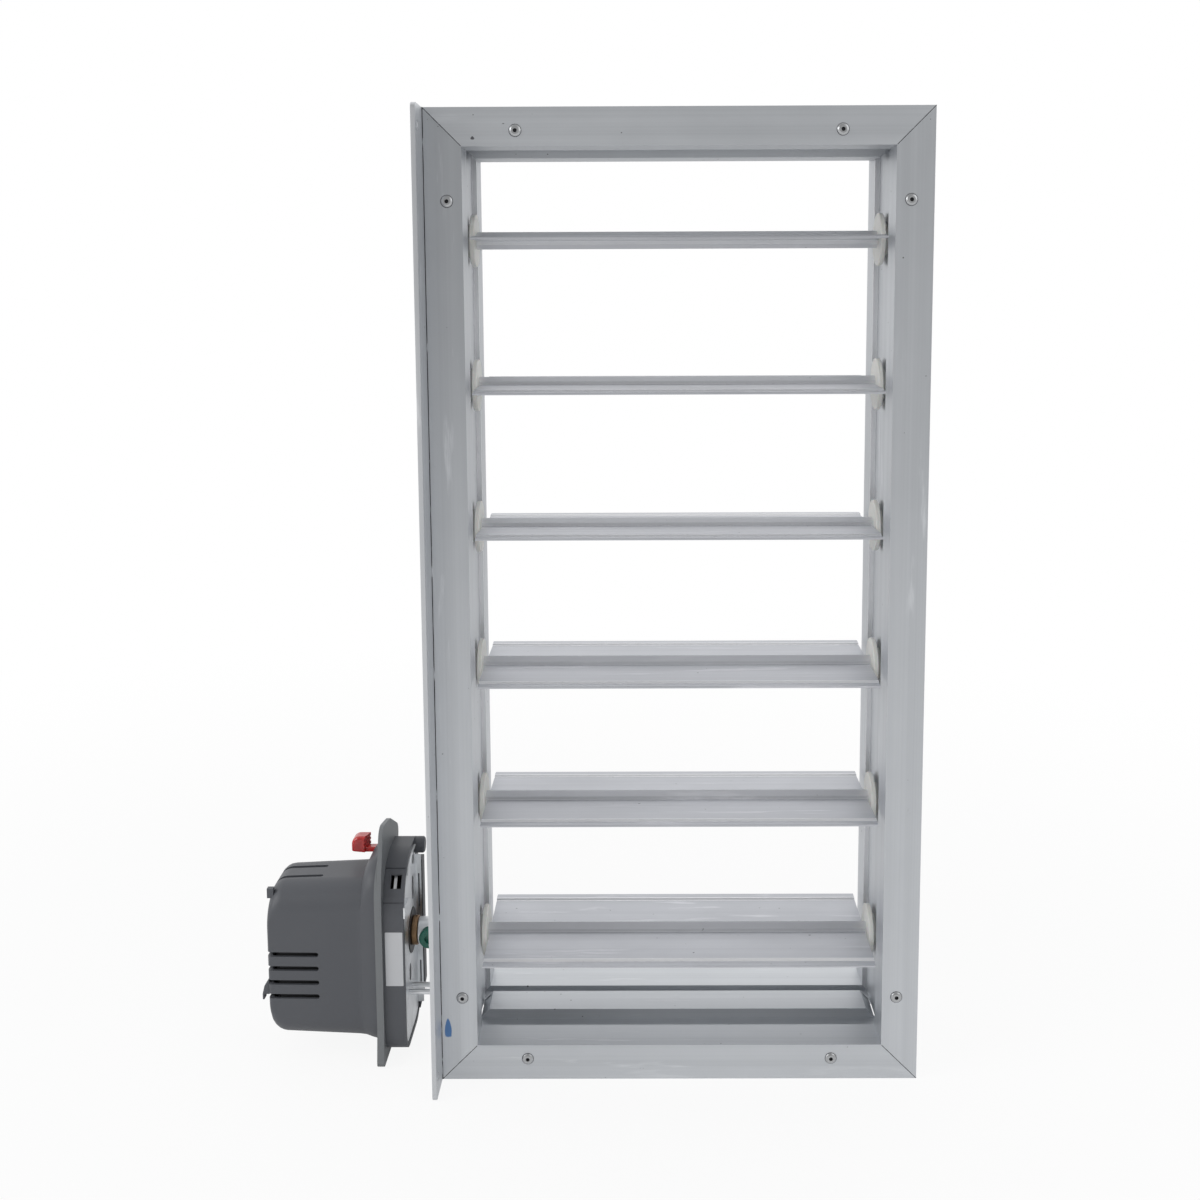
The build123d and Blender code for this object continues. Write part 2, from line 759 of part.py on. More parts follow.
def round_shoulder(angle, radius):
    # A place on the base's large corner, turned to face outwards.
    side, level, corner_r = base_corners[0]
    centre_y = side * (base_half_width - corner_r)
    centre_z = base_lift + level * (base_half_height - corner_r)
    y = centre_y + radius * cos(radians(angle))
    z = centre_z + radius * sin(radians(angle))
    return Pos(0, y, z) * Rot(angle - 90, 0, 0)


def make_base():
    base = extrude(base_outline(base_start), base_depth)
    wall_line = Polyline(
        (base_end, far_wall_top),
        (base_end + far_wall_rise, far_wall_top),
        (base_end + far_wall_rise, far_wall_bend),
        (base_end, base_lift - base_half_height),
        close=True,
    )
    raised = extrude(along(far_face) * make_face(wall_line), -far_wall)
    base += raised & extrude(base_outline(base_end), far_wall_rise)
    base -= inside_base(base_start, base_depth)
    base += make_boss()
    corner_r = base_corners[0][2]
    middle_x = (base_start + base_end) / 2
    for angle in shoulder_grooves:
        groove = Box(base_depth, shoulder_groove_width, 2 * shoulder_groove_depth)
        base -= Pos(middle_x, 0, 0) * round_shoulder(angle, corner_r) * groove
    window = Box(window_length, window_height, 4 * base_wall)
    window_x = base_end - window_from_face - window_length / 2
    return housing * (base - Pos(window_x, 0, 0) * round_shoulder(window_angle, corner_r) * window)


def make_boss():
    boss = cylinder_x(boss_r, base_start, base_end + boss_rise, boss_y, boss_z)
    return chamfer(boss.faces().sort_by(Axis.X)[-1].edges(), boss_chamfer)


def make_back_plate():
    # Zinc-plated sheet with slots, a hub hole, a fold, a rim clip and a tab behind the window.
    end = base_end - back_plate_recess
    start = end - back_plate_thickness
    plate = inside_base(start, back_plate_thickness, back_plate_fit)
    fold_length = base_end + plate_fold_rise - start
    fold = inside_base(start, fold_length, back_plate_fit)
    fold -= inside_base(start - 1, fold_length + 2, back_plate_fit + back_plate_thickness)
    shoulder = Pos(end, -base_half_width, plate_fold_low + base_half_height)
    plate += fold & (shoulder * Box(4 * fold_length, 3 * base_half_width, 2 * base_half_height))
    rim_y = -base_half_width + plate_clip_length / 2
    clip = Pos(base_end + plate_clip_thickness / 2, rim_y, plate_clip_z)
    plate += clip * Box(plate_clip_thickness, plate_clip_length, plate_clip_width)
    foot_length = plate_clip_length - base_wall - 2 * back_plate_fit
    foot_y = -base_half_width + plate_clip_length - foot_length / 2 + 1
    foot = Pos((start + base_end) / 2, foot_y, plate_clip_z)
    plate += foot * Box(base_end - start, foot_length - 2, plate_clip_width)
    plate += window_tab(start)
    for y, z, length in plate_slots:
        slot = extrude(SlotOverall(length, plate_slot_width), 4, both=True)
        plate -= Pos(start, y, z) * Rot(0, 90, 0) * slot
    for y, z in plate_small_holes:
        plate -= cylinder_x(plate_hole_small_d / 2, start - 1, base_end, y, z)
    for y in rod_places():
        plate -= cylinder_x(rod_d / 2 + rod_fit, start - 1, base_end, y, rod_z)
    plate -= shaft_in_housing(hub_d / 2 + hub_gap, start - 1, base_end)
    plate -= cylinder_x(boss_r + back_plate_fit, start - 1, base_end + boss_rise, boss_y, boss_z)
    return housing * plate


def window_tab(start):
    # Tab bent inwards behind the window, cut away so that a bar crosses the window.
    bar_x = base_end - window_from_face - window_length + plate_tab_margin
    inner_r = base_corners[0][2] - base_wall
    sag = inner_r - sqrt(inner_r**2 - (plate_tab_width / 2) ** 2)
    place = round_shoulder(window_angle, inner_r - sag - back_plate_fit - back_plate_thickness / 2)
    length = start - bar_x
    tab = Pos(bar_x + length / 2, 0, 0) * place * Box(length, plate_tab_width, back_plate_thickness)
    gap_length = length - plate_tab_bar
    gap = Pos(bar_x + plate_tab_bar + gap_length / 2, 0, 0) * place
    tab -= gap * Box(gap_length, plate_tab_width - 2 * plate_tab_margin, 2 * back_plate_thickness)
    return tab


def rod_places():
    return [rod_y, rod_y + rod_spacing]


def make_rods():
    # Anti-rotation rods from the base to the side plate.
    rods = []
    for y in rod_places():
        rods.append(housing * cylinder_x(rod_d / 2, base_end - rod_depth, 0, y, rod_z))
    return Compound(children=rods)


def make_latch():
    # Hook that holds the cover's far end.
    half = latch_height / 2
    neck = cover_start - latch_reach + latch_prong
    outline = Polyline(
        (cover_start, latch_z + half),
        (neck, latch_z),
        (cover_start - latch_reach, latch_z - half),
        (cover_start - latch_reach, latch_z - half - latch_tip),
        (neck, latch_z - half - latch_tip),
        (neck, latch_z - half),
        (cover_start, latch_z - half),
        close=True,
    )
    return housing * extrude(along(latch_y - latch_width / 2) * make_face(outline), -latch_width)


def make_gearmotor():
    # Closed gear case behind the back plate; the hub's stem turns in its socket.
    end = base_end - back_plate_recess - back_plate_thickness - motor_gap
    start = end - motor_length
    case = Pos((start + end) / 2, 0, motor_z) * Box(motor_length, motor_width, motor_height)
    case = fillet(case.edges().filter_by(Axis.X), motor_corner_r)
    socket_end = sleeve_start - ring_length - hub_length - hub_stem_length
    case -= shaft_in_housing(hub_d / 2 + hub_gap, socket_end - 1, end + 1)
    case += cylinder_x(motor_can_d / 2, start - motor_can_length, start, 0, motor_z - motor_can_drop)
    return housing * case


def make_circuit_board():
    x = cover_start + cover_wall + board_gap
    board = rounded_slab(x, board_thickness, board_half_width, board_half_height, board_corner_r, -cover_drop)
    return housing * board


# ---- release lever: hinged on a pin between two ears of the flange ----
def lever_pivot():
    # X and local Z of the pivot pin.
    return flange_start - lever_from_flange + lever_stem, lever_bottom + lever_stem_height / 2


def bar_across(radius, length):
    x, z = lever_pivot()
    return Pos(x, lever_y, z) * Rot(90, 0, 0) * Cylinder(radius, length)


def lever_ears():
    z = lever_pivot()[1]
    shift = lever_stem_width / 2 + ear_gap + ear_thickness / 2
    middle = flange_start - ear_length / 2
    ears = [Pos(middle, lever_y + s * shift, z) * Box(ear_length, ear_thickness, ear_height) for s in (-1, 1)]
    return [ear - bar_across(pivot_pin_d / 2, 4 * shift) for ear in ears]


def make_lever_pin():
    length = lever_stem_width + 2 * ear_gap + 2 * ear_thickness
    return housing * bar_across(pivot_pin_d / 2, length)


def lever_room():
    # A slot in the collar for the stem and its swing, and room for the ears behind it.
    x, z = lever_pivot()
    swing = lever_stem * sin(radians(lever_press))
    high = z + lever_stem_height / 2 + stem_room
    low = z - lever_stem_height / 2 - swing - stem_room
    slot_width = lever_stem_width + 2 * ear_gap
    slot = Pos(x - lever_stem / 2, lever_y, (low + high) / 2) * Box(lever_stem, slot_width, high - low)
    room_length = ear_length + ear_gap
    ears_width = slot_width + 2 * (ear_thickness + ear_gap)
    ears = Box(room_length, ears_width, ear_height + 2 * ear_gap)
    return slot + Pos(flange_start - room_length / 2, lever_y, z) * ears


def make_release_lever():
    end = flange_start - lever_from_flange
    start = end - lever_length
    top = lever_bottom + lever_height
    front = lever_y - lever_width / 2
    outline = make_face(Polyline(
        (start, lever_bottom + lever_slope), (start, top), (end, top), (end, lever_bottom), close=True
    ))
    outline = fillet(outline.vertices().sort_by_distance((start, top, 0))[0], lever_r)
    lever = extrude(along(front) * outline, -lever_width)
    slant = make_face(Polyline(
        (end - lever_side_slant, front), (end, front), (end, front + lever_width), close=True
    ))
    lever -= Pos(0, 0, lever_bottom) * extrude(slant, lever_height)
    front_edges = lever.faces().sort_by(Axis.Y)[0].edges()
    lever = fillet([edge for edge in front_edges if edge.center().Z > top - lever_r / 2], lever_front_r)
    turn = degrees(atan2(lever_side_slant, lever_width))
    groove = Rot(0, 0, -turn) * Box(2 * lever_rib_depth, 2 * lever_width, lever_rib_width)
    for i in range(lever_ribs):
        z = lever_bottom + lever_height / 2 + (i - (lever_ribs - 1) / 2) * lever_rib_pitch
        lever -= Pos(end - lever_side_slant / 2, lever_y, z) * groove
    x, z = lever_pivot()
    stem_start = end - lever_side_slant
    stem = Box(x - stem_start, lever_stem_width, lever_stem_height)
    lever += Pos((stem_start + x) / 2, lever_y, z) * stem
    lever += bar_across(pivot_boss_d / 2, lever_stem_width)
    lever -= bar_across(pivot_pin_d / 2 + pivot_fit, 2 * lever_width)
    return housing * lever


pieces = {}
pieces["top_rail"] = make_rail(1)
pieces["bottom_rail"] = make_rail(-1)
pieces["left_stile"] = make_stile(-1)
pieces["right_stile"] = make_stile(1)
pieces["corner_brackets_front"] = make_brackets(-1)
pieces["corner_brackets_rear"] = make_brackets(1)
pieces["corner_rivets_front"] = make_rivets(-1)
pieces["corner_rivets_rear"] = make_rivets(1)
pieces["side_plate"] = make_side_plate()
pieces["side_plate_screws"] = make_plate_screws()
pieces["shaft_bearing"] = make_shaft_bearing()
pieces["actuator_cover"] = make_cover()
pieces["actuator_flange"] = make_flange()
pieces["actuator_base"] = make_base()
pieces["actuator_back_plate"] = make_back_plate()
pieces["anti_rotation_rods"] = make_rods()
pieces["actuator_cover_latch"] = make_latch()
pieces["actuator_gearmotor"] = make_gearmotor()
pieces["actuator_circuit_board"] = make_circuit_board()
pieces["lever_pin"] = make_lever_pin()
pieces["release_lever"] = make_release_lever()
for index in range(blade_count):
    number = index + 1
    pieces[f"blade_{number}"] = make_blade(index)
    pieces[f"gear_{number}"] = make_gear(index)
    pieces[f"thrust_disc_{number}"] = make_thrust_disc(index)
    pieces[f"bush_{number}"] = make_bush(index)
    pieces[f"bush_clip_{number}"] = make_clip(index)
pieces["drive_shaft"] = make_drive_shaft()
pieces["shaft_coupling"] = make_sleeve()
pieces["clamp_bolt"] = make_clamp_bolt()
pieces["hub_ring"] = make_hub_ring()
pieces["actuator_hub"] = make_actuator_hub()

os.makedirs("parts", exist_ok=True)
for name, piece in pieces.items():
    export_step(piece, f"parts/{name}.step")
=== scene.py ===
import json
import math

import bpy
from mathutils import Matrix, Vector

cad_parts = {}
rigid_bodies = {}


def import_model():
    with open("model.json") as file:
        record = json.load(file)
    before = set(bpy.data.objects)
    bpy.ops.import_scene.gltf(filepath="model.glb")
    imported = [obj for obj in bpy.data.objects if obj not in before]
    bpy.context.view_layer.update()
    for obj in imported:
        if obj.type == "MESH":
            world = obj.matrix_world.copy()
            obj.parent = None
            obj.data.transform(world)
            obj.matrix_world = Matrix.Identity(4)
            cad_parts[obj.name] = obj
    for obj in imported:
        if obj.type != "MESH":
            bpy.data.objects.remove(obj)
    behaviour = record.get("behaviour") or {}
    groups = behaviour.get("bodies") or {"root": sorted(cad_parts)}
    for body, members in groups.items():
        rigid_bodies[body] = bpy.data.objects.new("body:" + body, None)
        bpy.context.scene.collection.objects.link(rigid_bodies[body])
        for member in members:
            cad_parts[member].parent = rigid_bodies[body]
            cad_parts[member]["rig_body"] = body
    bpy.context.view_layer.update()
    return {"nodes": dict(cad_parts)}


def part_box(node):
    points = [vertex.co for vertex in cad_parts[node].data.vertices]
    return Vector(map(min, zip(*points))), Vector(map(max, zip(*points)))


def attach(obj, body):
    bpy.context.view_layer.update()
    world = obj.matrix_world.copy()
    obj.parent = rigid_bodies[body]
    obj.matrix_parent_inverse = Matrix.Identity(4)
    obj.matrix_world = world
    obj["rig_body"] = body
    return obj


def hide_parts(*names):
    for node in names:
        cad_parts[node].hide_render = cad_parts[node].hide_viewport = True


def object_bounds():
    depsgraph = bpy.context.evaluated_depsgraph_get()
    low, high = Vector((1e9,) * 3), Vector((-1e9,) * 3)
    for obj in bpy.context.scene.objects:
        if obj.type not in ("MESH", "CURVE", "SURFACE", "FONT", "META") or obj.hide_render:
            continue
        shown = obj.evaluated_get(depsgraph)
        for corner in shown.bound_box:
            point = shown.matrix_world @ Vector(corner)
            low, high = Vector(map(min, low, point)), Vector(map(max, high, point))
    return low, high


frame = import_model()
nodes = frame["nodes"]
bladeCount = sum(1 for name in nodes if name.startswith("blade_"))
print("frame loaded:", len(nodes), "nodes")

# camera, light and floor
view = {
    "place": (0.14391, -0.95981, 0.21488),
    "yaw": 0.172,
    "pitch": -6.733,
    "roll": 0.201,
    "lens": 41.18,
    "sensor": 36,
    "shift": (-0.0305, -0.1221),
    "nearest": 0.02,
}
room = {
    "backdrop": (1.0, 1.0, 1.0),
    "front": 0.63,  # what the front faces mirror
    "top": 0.41,
    "back": 1.0,
    "ambient": 0.66,
    "frontReach": (-0.25, 0.5),  # how the room changes from behind the object to the front of it
    "topReach": (-0.45, 0.35),
}
lamps = {
    "keyLamp": {"watts": 14.0, "size": 1.2, "place": (-1.7, -0.9, 0.9)},
    "fillLamp": {"watts": 6.0, "size": 1.4, "place": (1.5, -0.8, 0.9)},
}
lampAim = (0.15, 0, 0)
floor = {
    "size": 12,
    "middle": (0, 3),
    "pale": 0.86,
    "grain": 3,
    "grainShade": 0.98,
    "roughness": 0.7,
    "glow": 0.9,  # by the object; it grows to 1 away from it
    "glowReach": (0.35, 1.3),
    "mirrored": 0.35,
}


def addCamera():
    camera = bpy.data.cameras.new("studioCamera")
    camera.lens = view["lens"]
    camera.sensor_width = view["sensor"]
    camera.shift_x, camera.shift_y = view["shift"]
    camera.clip_start = view["nearest"]
    body = bpy.data.objects.new("studioCamera", camera)
    bpy.context.scene.collection.objects.link(body)
    turn = (
        Matrix.Rotation(math.radians(view["roll"]), 4, "Y")
        @ Matrix.Rotation(math.radians(view["pitch"]), 4, "X")
        @ Matrix.Rotation(math.radians(view["yaw"]), 4, "Z")
        @ Matrix.Rotation(math.radians(90), 4, "X")
    )
    body.matrix_world = Matrix.Translation(view["place"]) @ turn
    bpy.context.scene.camera = body


# shader maths
class Signal:
    # one output socket that can be used in plain expressions
    def __init__(self, owner, socket):
        self.owner = owner
        self.socket = socket

    def math(self, operation, *others):
        return self.owner.node("ShaderNodeMath", {"operation": operation}, dict(enumerate((self, *others))))

    def __add__(self, other):
        return self.math("ADD", other)

    def __radd__(self, other):
        return self.math("ADD", other)

    def __sub__(self, other):
        return self.math("SUBTRACT", other)

    def __rsub__(self, other):
        return self.owner.node("ShaderNodeMath", {"operation": "SUBTRACT"}, {0: other, 1: self})

    def __mul__(self, other):
        return self.math("MULTIPLY", other)

    def __rmul__(self, other):
        return self.math("MULTIPLY", other)

    def between(self, low, high):
        # 0 below low, 1 above high, smooth between
        settings = {"interpolation_type": "SMOOTHSTEP"}
        values = {"Value": self, "From Min": low, "From Max": high}
        return self.owner.node("ShaderNodeMapRange", settings, values, "Result")


class Nodes:
    # a node tree, and the coordinates its patterns read
    def __init__(self, tree, coordinates):
        self.tree = tree
        self.place = self.node("ShaderNodeTexCoord", output=coordinates)

    def node(self, kind, settings=None, values=None, output=0):
        made = self.tree.nodes.new(kind)
        for name, value in (settings or {}).items():
            setattr(made, name, value)
        for name, value in (values or {}).items():
            if isinstance(value, Signal):
                self.tree.links.new(value.socket, made.inputs[name])
            else:
                made.inputs[name].default_value = value
        return Signal(self, made.outputs[output])

    def axis(self, index):
        return self.node("ShaderNodeSeparateXYZ", None, {0: self.place}, index)


class Paint(Nodes):
    # a material on the Principled shader
    sockets = {
        "color": "Base Color",
        "roughness": "Roughness",
        "metallic": "Metallic",
        "normal": "Normal",
        "coat": "Coat Weight",
        "sub": "Subsurface Weight",
        "subScale": "Subsurface Scale",
    }

    def __init__(self, name):
        self.material = bpy.data.materials.new(name)
        self.material.use_nodes = True
        super().__init__(self.material.node_tree, "Object")
        self.shader = self.tree.nodes["Principled BSDF"]

    def stretched(self, scale, shift):
        values = {"Vector": self.place, "Scale": scale, "Location": shift}
        return self.node("ShaderNodeMapping", None, values, "Vector")

    def noise(self, where, scale, detail=3.0, roughness=0.5):
        values = {"Vector": where, "Scale": scale, "Detail": detail, "Roughness": roughness}
        return self.node("ShaderNodeTexNoise", None, values, "Fac")

    def cloud(self, scale):
        # broad uneven patches
        return self.noise(self.place, scale, detail=4, roughness=0.6)

    def mix(self, amount, first, second):
        # colours or colour signals; the node takes them at inputs 6 and 7 and gives one at output 2
        first = first if isinstance(first, Signal) else (*first, 1)
        second = second if isinstance(second, Signal) else (*second, 1)
        return self.node("ShaderNodeMix", {"data_type": "RGBA"}, {0: amount, 6: first, 7: second}, 2)

    def bump(self, height, strength, distance):
        values = {"Height": height, "Strength": strength, "Distance": distance}
        return self.node("ShaderNodeBump", None, values, "Normal")

    def set(self, **values):
        for name, value in values.items():
            socket = self.shader.inputs[self.sockets[name]]
            if isinstance(value, Signal):
                self.tree.links.new(value.socket, socket)
            elif isinstance(value, tuple):
                socket.default_value = (*value, 1)
            else:
                socket.default_value = value
        return self.material


def addWorld():
    # white backdrop behind, a greyer room in front and above
    world = bpy.data.worlds.new("studio")
    bpy.context.scene.world = world
    world.use_nodes = True
    tree = world.node_tree
    tree.nodes.clear()
    walls = Nodes(tree, "Generated")
    front = (walls.axis(1) * -1).between(*room["frontReach"])
    above = walls.axis(2).between(*room["topReach"])
    level = front * (room["front"] - room["back"]) + room["back"]
    level = level + front * above * (room["top"] - room["front"])
    seen, mirrored, through = (
        walls.node("ShaderNodeLightPath", output=ray)
        for ray in ("Is Camera Ray", "Is Glossy Ray", "Is Transmission Ray")
    )
    strength = mirrored * (level - room["ambient"]) + room["ambient"]
    strength = strength * (1 - seen) + seen
    strength = strength * (1 - through) + through
    glow = walls.node("ShaderNodeBackground", None, {"Color": (*room["backdrop"], 1), "Strength": strength})
    out = tree.nodes.new("ShaderNodeOutputWorld")
    tree.links.new(glow.socket, out.inputs["Surface"])


def addLamp(name, watts, size, place):
    lamp = bpy.data.lights.new(name, "AREA")
    lamp.energy = watts
    lamp.shape = "RECTANGLE"
    lamp.size, lamp.size_y = size, size
    body = bpy.data.objects.new(name, lamp)
    bpy.context.scene.collection.objects.link(body)
    body.location = place
    body.rotation_euler = (Vector(lampAim) - Vector(place)).to_track_quat("-Z", "Y").to_euler()


def addFloor():
    # pale floor that keeps the object's shadow and fades to white away from it
    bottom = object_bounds()[0][2]
    bpy.ops.object.select_all(action="DESELECT")
    bpy.ops.mesh.primitive_plane_add(size=floor["size"], location=(*floor["middle"], bottom))
    sheet = bpy.context.object
    bpy.ops.object.transform_apply(location=True)
    sheet.name = "floor"
    paint = Paint("paleFloor")
    pale = (floor["pale"],) * 3
    shaded = (floor["pale"] * floor["grainShade"],) * 3
    paint.set(color=paint.mix(paint.noise(paint.place, floor["grain"]), pale, shaded), roughness=floor["roughness"])
    seen = paint.node("ShaderNodeLightPath", output="Is Camera Ray")
    mirrored = paint.node("ShaderNodeLightPath", output="Is Glossy Ray")
    away = paint.node("ShaderNodeVectorMath", {"operation": "LENGTH"}, {0: paint.place}, "Value")
    glow = away.between(*floor["glowReach"]) * (1 - floor["glow"]) + floor["glow"]
    share = seen * glow + mirrored * floor["mirrored"]
    lit = Signal(paint, paint.shader.outputs[0])
    white = paint.node("ShaderNodeEmission", None, {"Color": (1, 1, 1, 1), "Strength": 1.0})
    both = paint.node("ShaderNodeMixShader", None, {0: share, 1: lit, 2: white})
    paint.tree.links.new(both.socket, paint.tree.nodes["Material Output"].inputs["Surface"])
    sheet.data.materials.append(paint.material)


bpy.context.scene.view_settings.view_transform = "Standard"
addCamera()
addWorld()
for lampName, settings in lamps.items():
    addLamp(lampName, **settings)
addFloor()
print("camera, light and floor done")


# materials
aluminium = {
    "shade": (0.64, 0.662, 0.69),
    "dark": (0.46, 0.48, 0.505),
    "rub": (0.90, 0.915, 0.94),
    # painted shade colour for the upper stiles
    "dull": (0.33, 0.345, 0.365),
    # painted highlight colour, used on the stile steps and the blade facets
    "highlightTint": (0.97, 0.975, 0.99),
    "speck": (0.12, 0.12, 0.125),
    "roughness": 0.37,
    "topShadeReach": (-0.16, 0.30),  # painted shade, darker from here upwards
    "softEdge": 0.0002,
    "bump": (0.10, 0.0004),  # strength, distance
    "seedShift": (1, 1.7, 0.6),  # how far the seed moves the patterns on each axis
}
# scale along the drawn lines and across them, detail, roughness
drawnPatterns = {
    "fine": (1.5, 900, 2, 0.5),
    "bands": (0.8, 110, 3, 0.5),
    "cloud": (5, 9, 4, 0.6),
    "smear": (14, 120, 4, 0.6),
    "patch": (4, 14, 2, 0.5),
    "speck": (260, 330, 1, 0.5),
    "blot": (60, 90, 3, 0.7),
}
patternReach = {  # where each pattern starts to show and shows fully
    "bands": (0.35, 0.65),
    "cloud": (0.3, 0.7),
    "smear": (0.56, 0.70),
    "patch": (0.48, 0.62),
    "speck": (0.785, 0.82),
    "blot": (0.71, 0.78),
}
patternShare = {"fine": 0.25, "bands": 0.30, "blot": 0.35, "speck": 0.8}
roughShare = {"fine": 0.10, "cloud": 0.10, "smear": 0.15, "speck": 0.3}
bumpShare = {"fine": 0.6, "bands": 0.4}
# painted highlight band on the step between the raised bands and the web
stepHighlightBand = {"depth": 0.028, "half": 0.0002, "soft": 0.0003}  # between the raised bands and the web
# painted highlight bands on the blades' hub facets and edge-lip steps
facetHighlightBands = {"hubHalf": 0.0062, "hubShare": 0.6, "lipStep": (0.0440, 0.0464)}
markShape = {
    "grain": 380,
    "ragged": 0.6,
    "skew": (1.25, 0.55),  # narrower at one end
    "edge": (0.75, 1.15),
    "frontFace": (-0.0548, -0.0545),
}


def paintedStepHighlight(paint, color):
    # painted highlight: the step beside the raised bands is painted brighter
    off = (paint.axis(1) - stepHighlightBand["depth"]).math("ABSOLUTE")
    on = 1 - off.between(stepHighlightBand["half"], stepHighlightBand["half"] + stepHighlightBand["soft"])
    return paint.mix(on, color, aluminium["highlightTint"])


def paintedFacetHighlights(paint, color):
    # painted highlight: the hexagon hub's facets and the steps of the edge lips are painted brighter than the wings
    soft = aluminium["softEdge"]
    hub = facetHighlightBands["hubHalf"]
    low, high = facetHighlightBands["lipStep"]
    off = paint.axis(1).math("ABSOLUTE")
    color = paint.mix(facetHighlightBands["hubShare"] * (1 - off.between(hub - soft, hub + soft)), color, aluminium["highlightTint"])
    return paint.mix(off.between(low - soft, low) * (1 - off.between(high, high + soft)), color, aluminium["highlightTint"])


def addMark(paint, color, low, high, tint, amount):
    # an oval worn or inked spot on the front face, from its corners in x and z
    ragged = (paint.noise(paint.place, markShape["grain"]) - 0.5) * markShape["ragged"]
    outX = (paint.axis(0) - (low[0] + high[0]) / 2) * (2 / (high[0] - low[0]))
    outZ = (paint.axis(2) - (low[1] + high[1]) / 2) * (2 / (high[1] - low[1]))
    outX = outX * (markShape["skew"][0] + outZ * markShape["skew"][1])
    inside = 1 - (outX * outX + outZ * outZ + ragged).between(*markShape["edge"])
    front = 1 - paint.axis(1).between(*markShape["frontFace"])
    return paint.mix(inside * front * amount, color, tint)


def millAluminium(name, along, seed, tone=(1.0, 1.0, 1.0), rubs=0.5, calm=0.6, topShade=0.0, marks=(), trim=None):
    # drawn lines run along the extrusion; rubs, smears and specks lie over them
    paint = Paint(name)
    shift = tuple(seed * share for share in aluminium["seedShift"])
    pattern = {}
    for kind, (lengthwise, across, detail, roughness) in drawnPatterns.items():
        scale = [across] * 3
        scale[along] = lengthwise
        pattern[kind] = paint.noise(paint.stretched(tuple(scale), shift), 1, detail, roughness)
    toned = {
        kind: tuple(channel * share for channel, share in zip(aluminium[kind], tone))
        for kind in ("shade", "dark", "rub", "dull")
    }
    shown = {kind: pattern[kind].between(*reach) for kind, reach in patternReach.items()}
    smear = shown["smear"] * shown["patch"]
    color = paint.mix(shown["cloud"], toned["dark"], toned["shade"])
    color = paint.mix(calm, color, toned["shade"])
    color = paint.mix(shown["bands"] * patternShare["bands"], color, toned["dark"])
    color = paint.mix(pattern["fine"] * patternShare["fine"], color, toned["rub"])
    # painted shade: the stiles are painted darker towards the top
    if topShade:
        color = paint.mix(paint.axis(2).between(*aluminium["topShadeReach"]) * topShade, color, toned["dull"])
    color = paint.mix(smear * rubs, color, toned["rub"])
    color = paint.mix(shown["blot"] * patternShare["blot"], color, toned["dark"])
    color = paint.mix(shown["speck"] * patternShare["speck"], color, aluminium["speck"])
    # painted highlights on steps and facets, where a trim is given
    if trim:
        color = trim(paint, color)
    for mark in marks:
        color = addMark(paint, color, *mark)
    rough = pattern["fine"] * roughShare["fine"] + pattern["cloud"] * roughShare["cloud"]
    rough = rough + smear * roughShare["smear"] + shown["speck"] * roughShare["speck"] + aluminium["roughness"]
    height = pattern["fine"] * bumpShare["fine"] + pattern["bands"] * bumpShare["bands"]
    normal = paint.bump(height, *aluminium["bump"])
    return paint.set(color=color, roughness=rough, metallic=1.0, normal=normal)


metalFinish = {
    "grain": 400,
    "cloudSize": 9,  # in grains
    "cloudReach": (0.35, 0.7),
    "wear": 0.2,
    "fine": 0.15,
    "darker": 0.62,
    "rough": (0.12, 0.14, -0.1),  # from the grain, from the cloud, and before either
    "bump": (0.08, 0.0003),
}
plasticFinish = {
    "grain": 1400,
    "cloudScale": 22,
    "cloudReach": (0.4, 0.75),
    "dust": 0.12,
    "paler": (0.8, 0.05),
    "darker": 0.7,
    "fine": 0.10,
    "rough": (0.12, 0.12, -0.08),
    "bump": (0.06, 0.0003),
}


def plainMetal(name, colour, roughness, grain=metalFinish["grain"], wear=metalFinish["wear"]):
    paint = Paint(name)
    fine = paint.noise(paint.place, grain)
    cloud = paint.cloud(grain / metalFinish["cloudSize"])
    dark = tuple(channel * metalFinish["darker"] for channel in colour)
    worn = cloud.between(*metalFinish["cloudReach"]) * wear + fine * metalFinish["fine"]
    fromFine, fromCloud, before = metalFinish["rough"]
    rough = fine * fromFine + cloud * fromCloud + (roughness + before)
    normal = paint.bump(fine, *metalFinish["bump"])
    return paint.set(color=paint.mix(worn, colour, dark), roughness=rough, metallic=1.0, normal=normal)


def mouldedPlastic(
    name, colour, roughness, grain=plasticFinish["grain"], depth=plasticFinish["bump"][0], dust=plasticFinish["dust"],
):
    paint = Paint(name)
    fine = paint.noise(paint.place, grain, detail=2)
    cloud = paint.cloud(plasticFinish["cloudScale"])
    share, lift = plasticFinish["paler"]
    pale = tuple(channel * share + lift for channel in colour)
    dark = tuple(channel * plasticFinish["darker"] for channel in colour)
    color = paint.mix(cloud.between(*plasticFinish["cloudReach"]) * dust, colour, pale)
    color = paint.mix(fine * plasticFinish["fine"], color, dark)
    fromFine, fromCloud, before = plasticFinish["rough"]
    rough = fine * fromFine + cloud * fromCloud + (roughness + before)
    normal = paint.bump(fine, depth, plasticFinish["bump"][1])
    return paint.set(color=color, roughness=rough, metallic=0.0, normal=normal)


nylon = {
    "clean": (0.86, 0.86, 0.82),
    "worn": (0.70, 0.70, 0.64),
    "wear": 0.5,
    "wearReach": (0.3, 0.75),
    "grain": 700,
    "cloud": 45,
    "roughness": 0.42,
    "uneven": 0.1,
    "bump": (0.05, 0.0003),
    "glow": {"sub": 0.06, "subScale": 0.003},
}
lever = {
    "clear": (0.62, 0.03, 0.028),
    "deep": (0.42, 0.016, 0.016),
    "cloud": 90,
    "deepReach": (0.3, 0.7),
    "roughness": 0.18,
    "uneven": 0.08,
    "glow": {"coat": 0.5, "sub": 0.35, "subScale": 0.004},
}


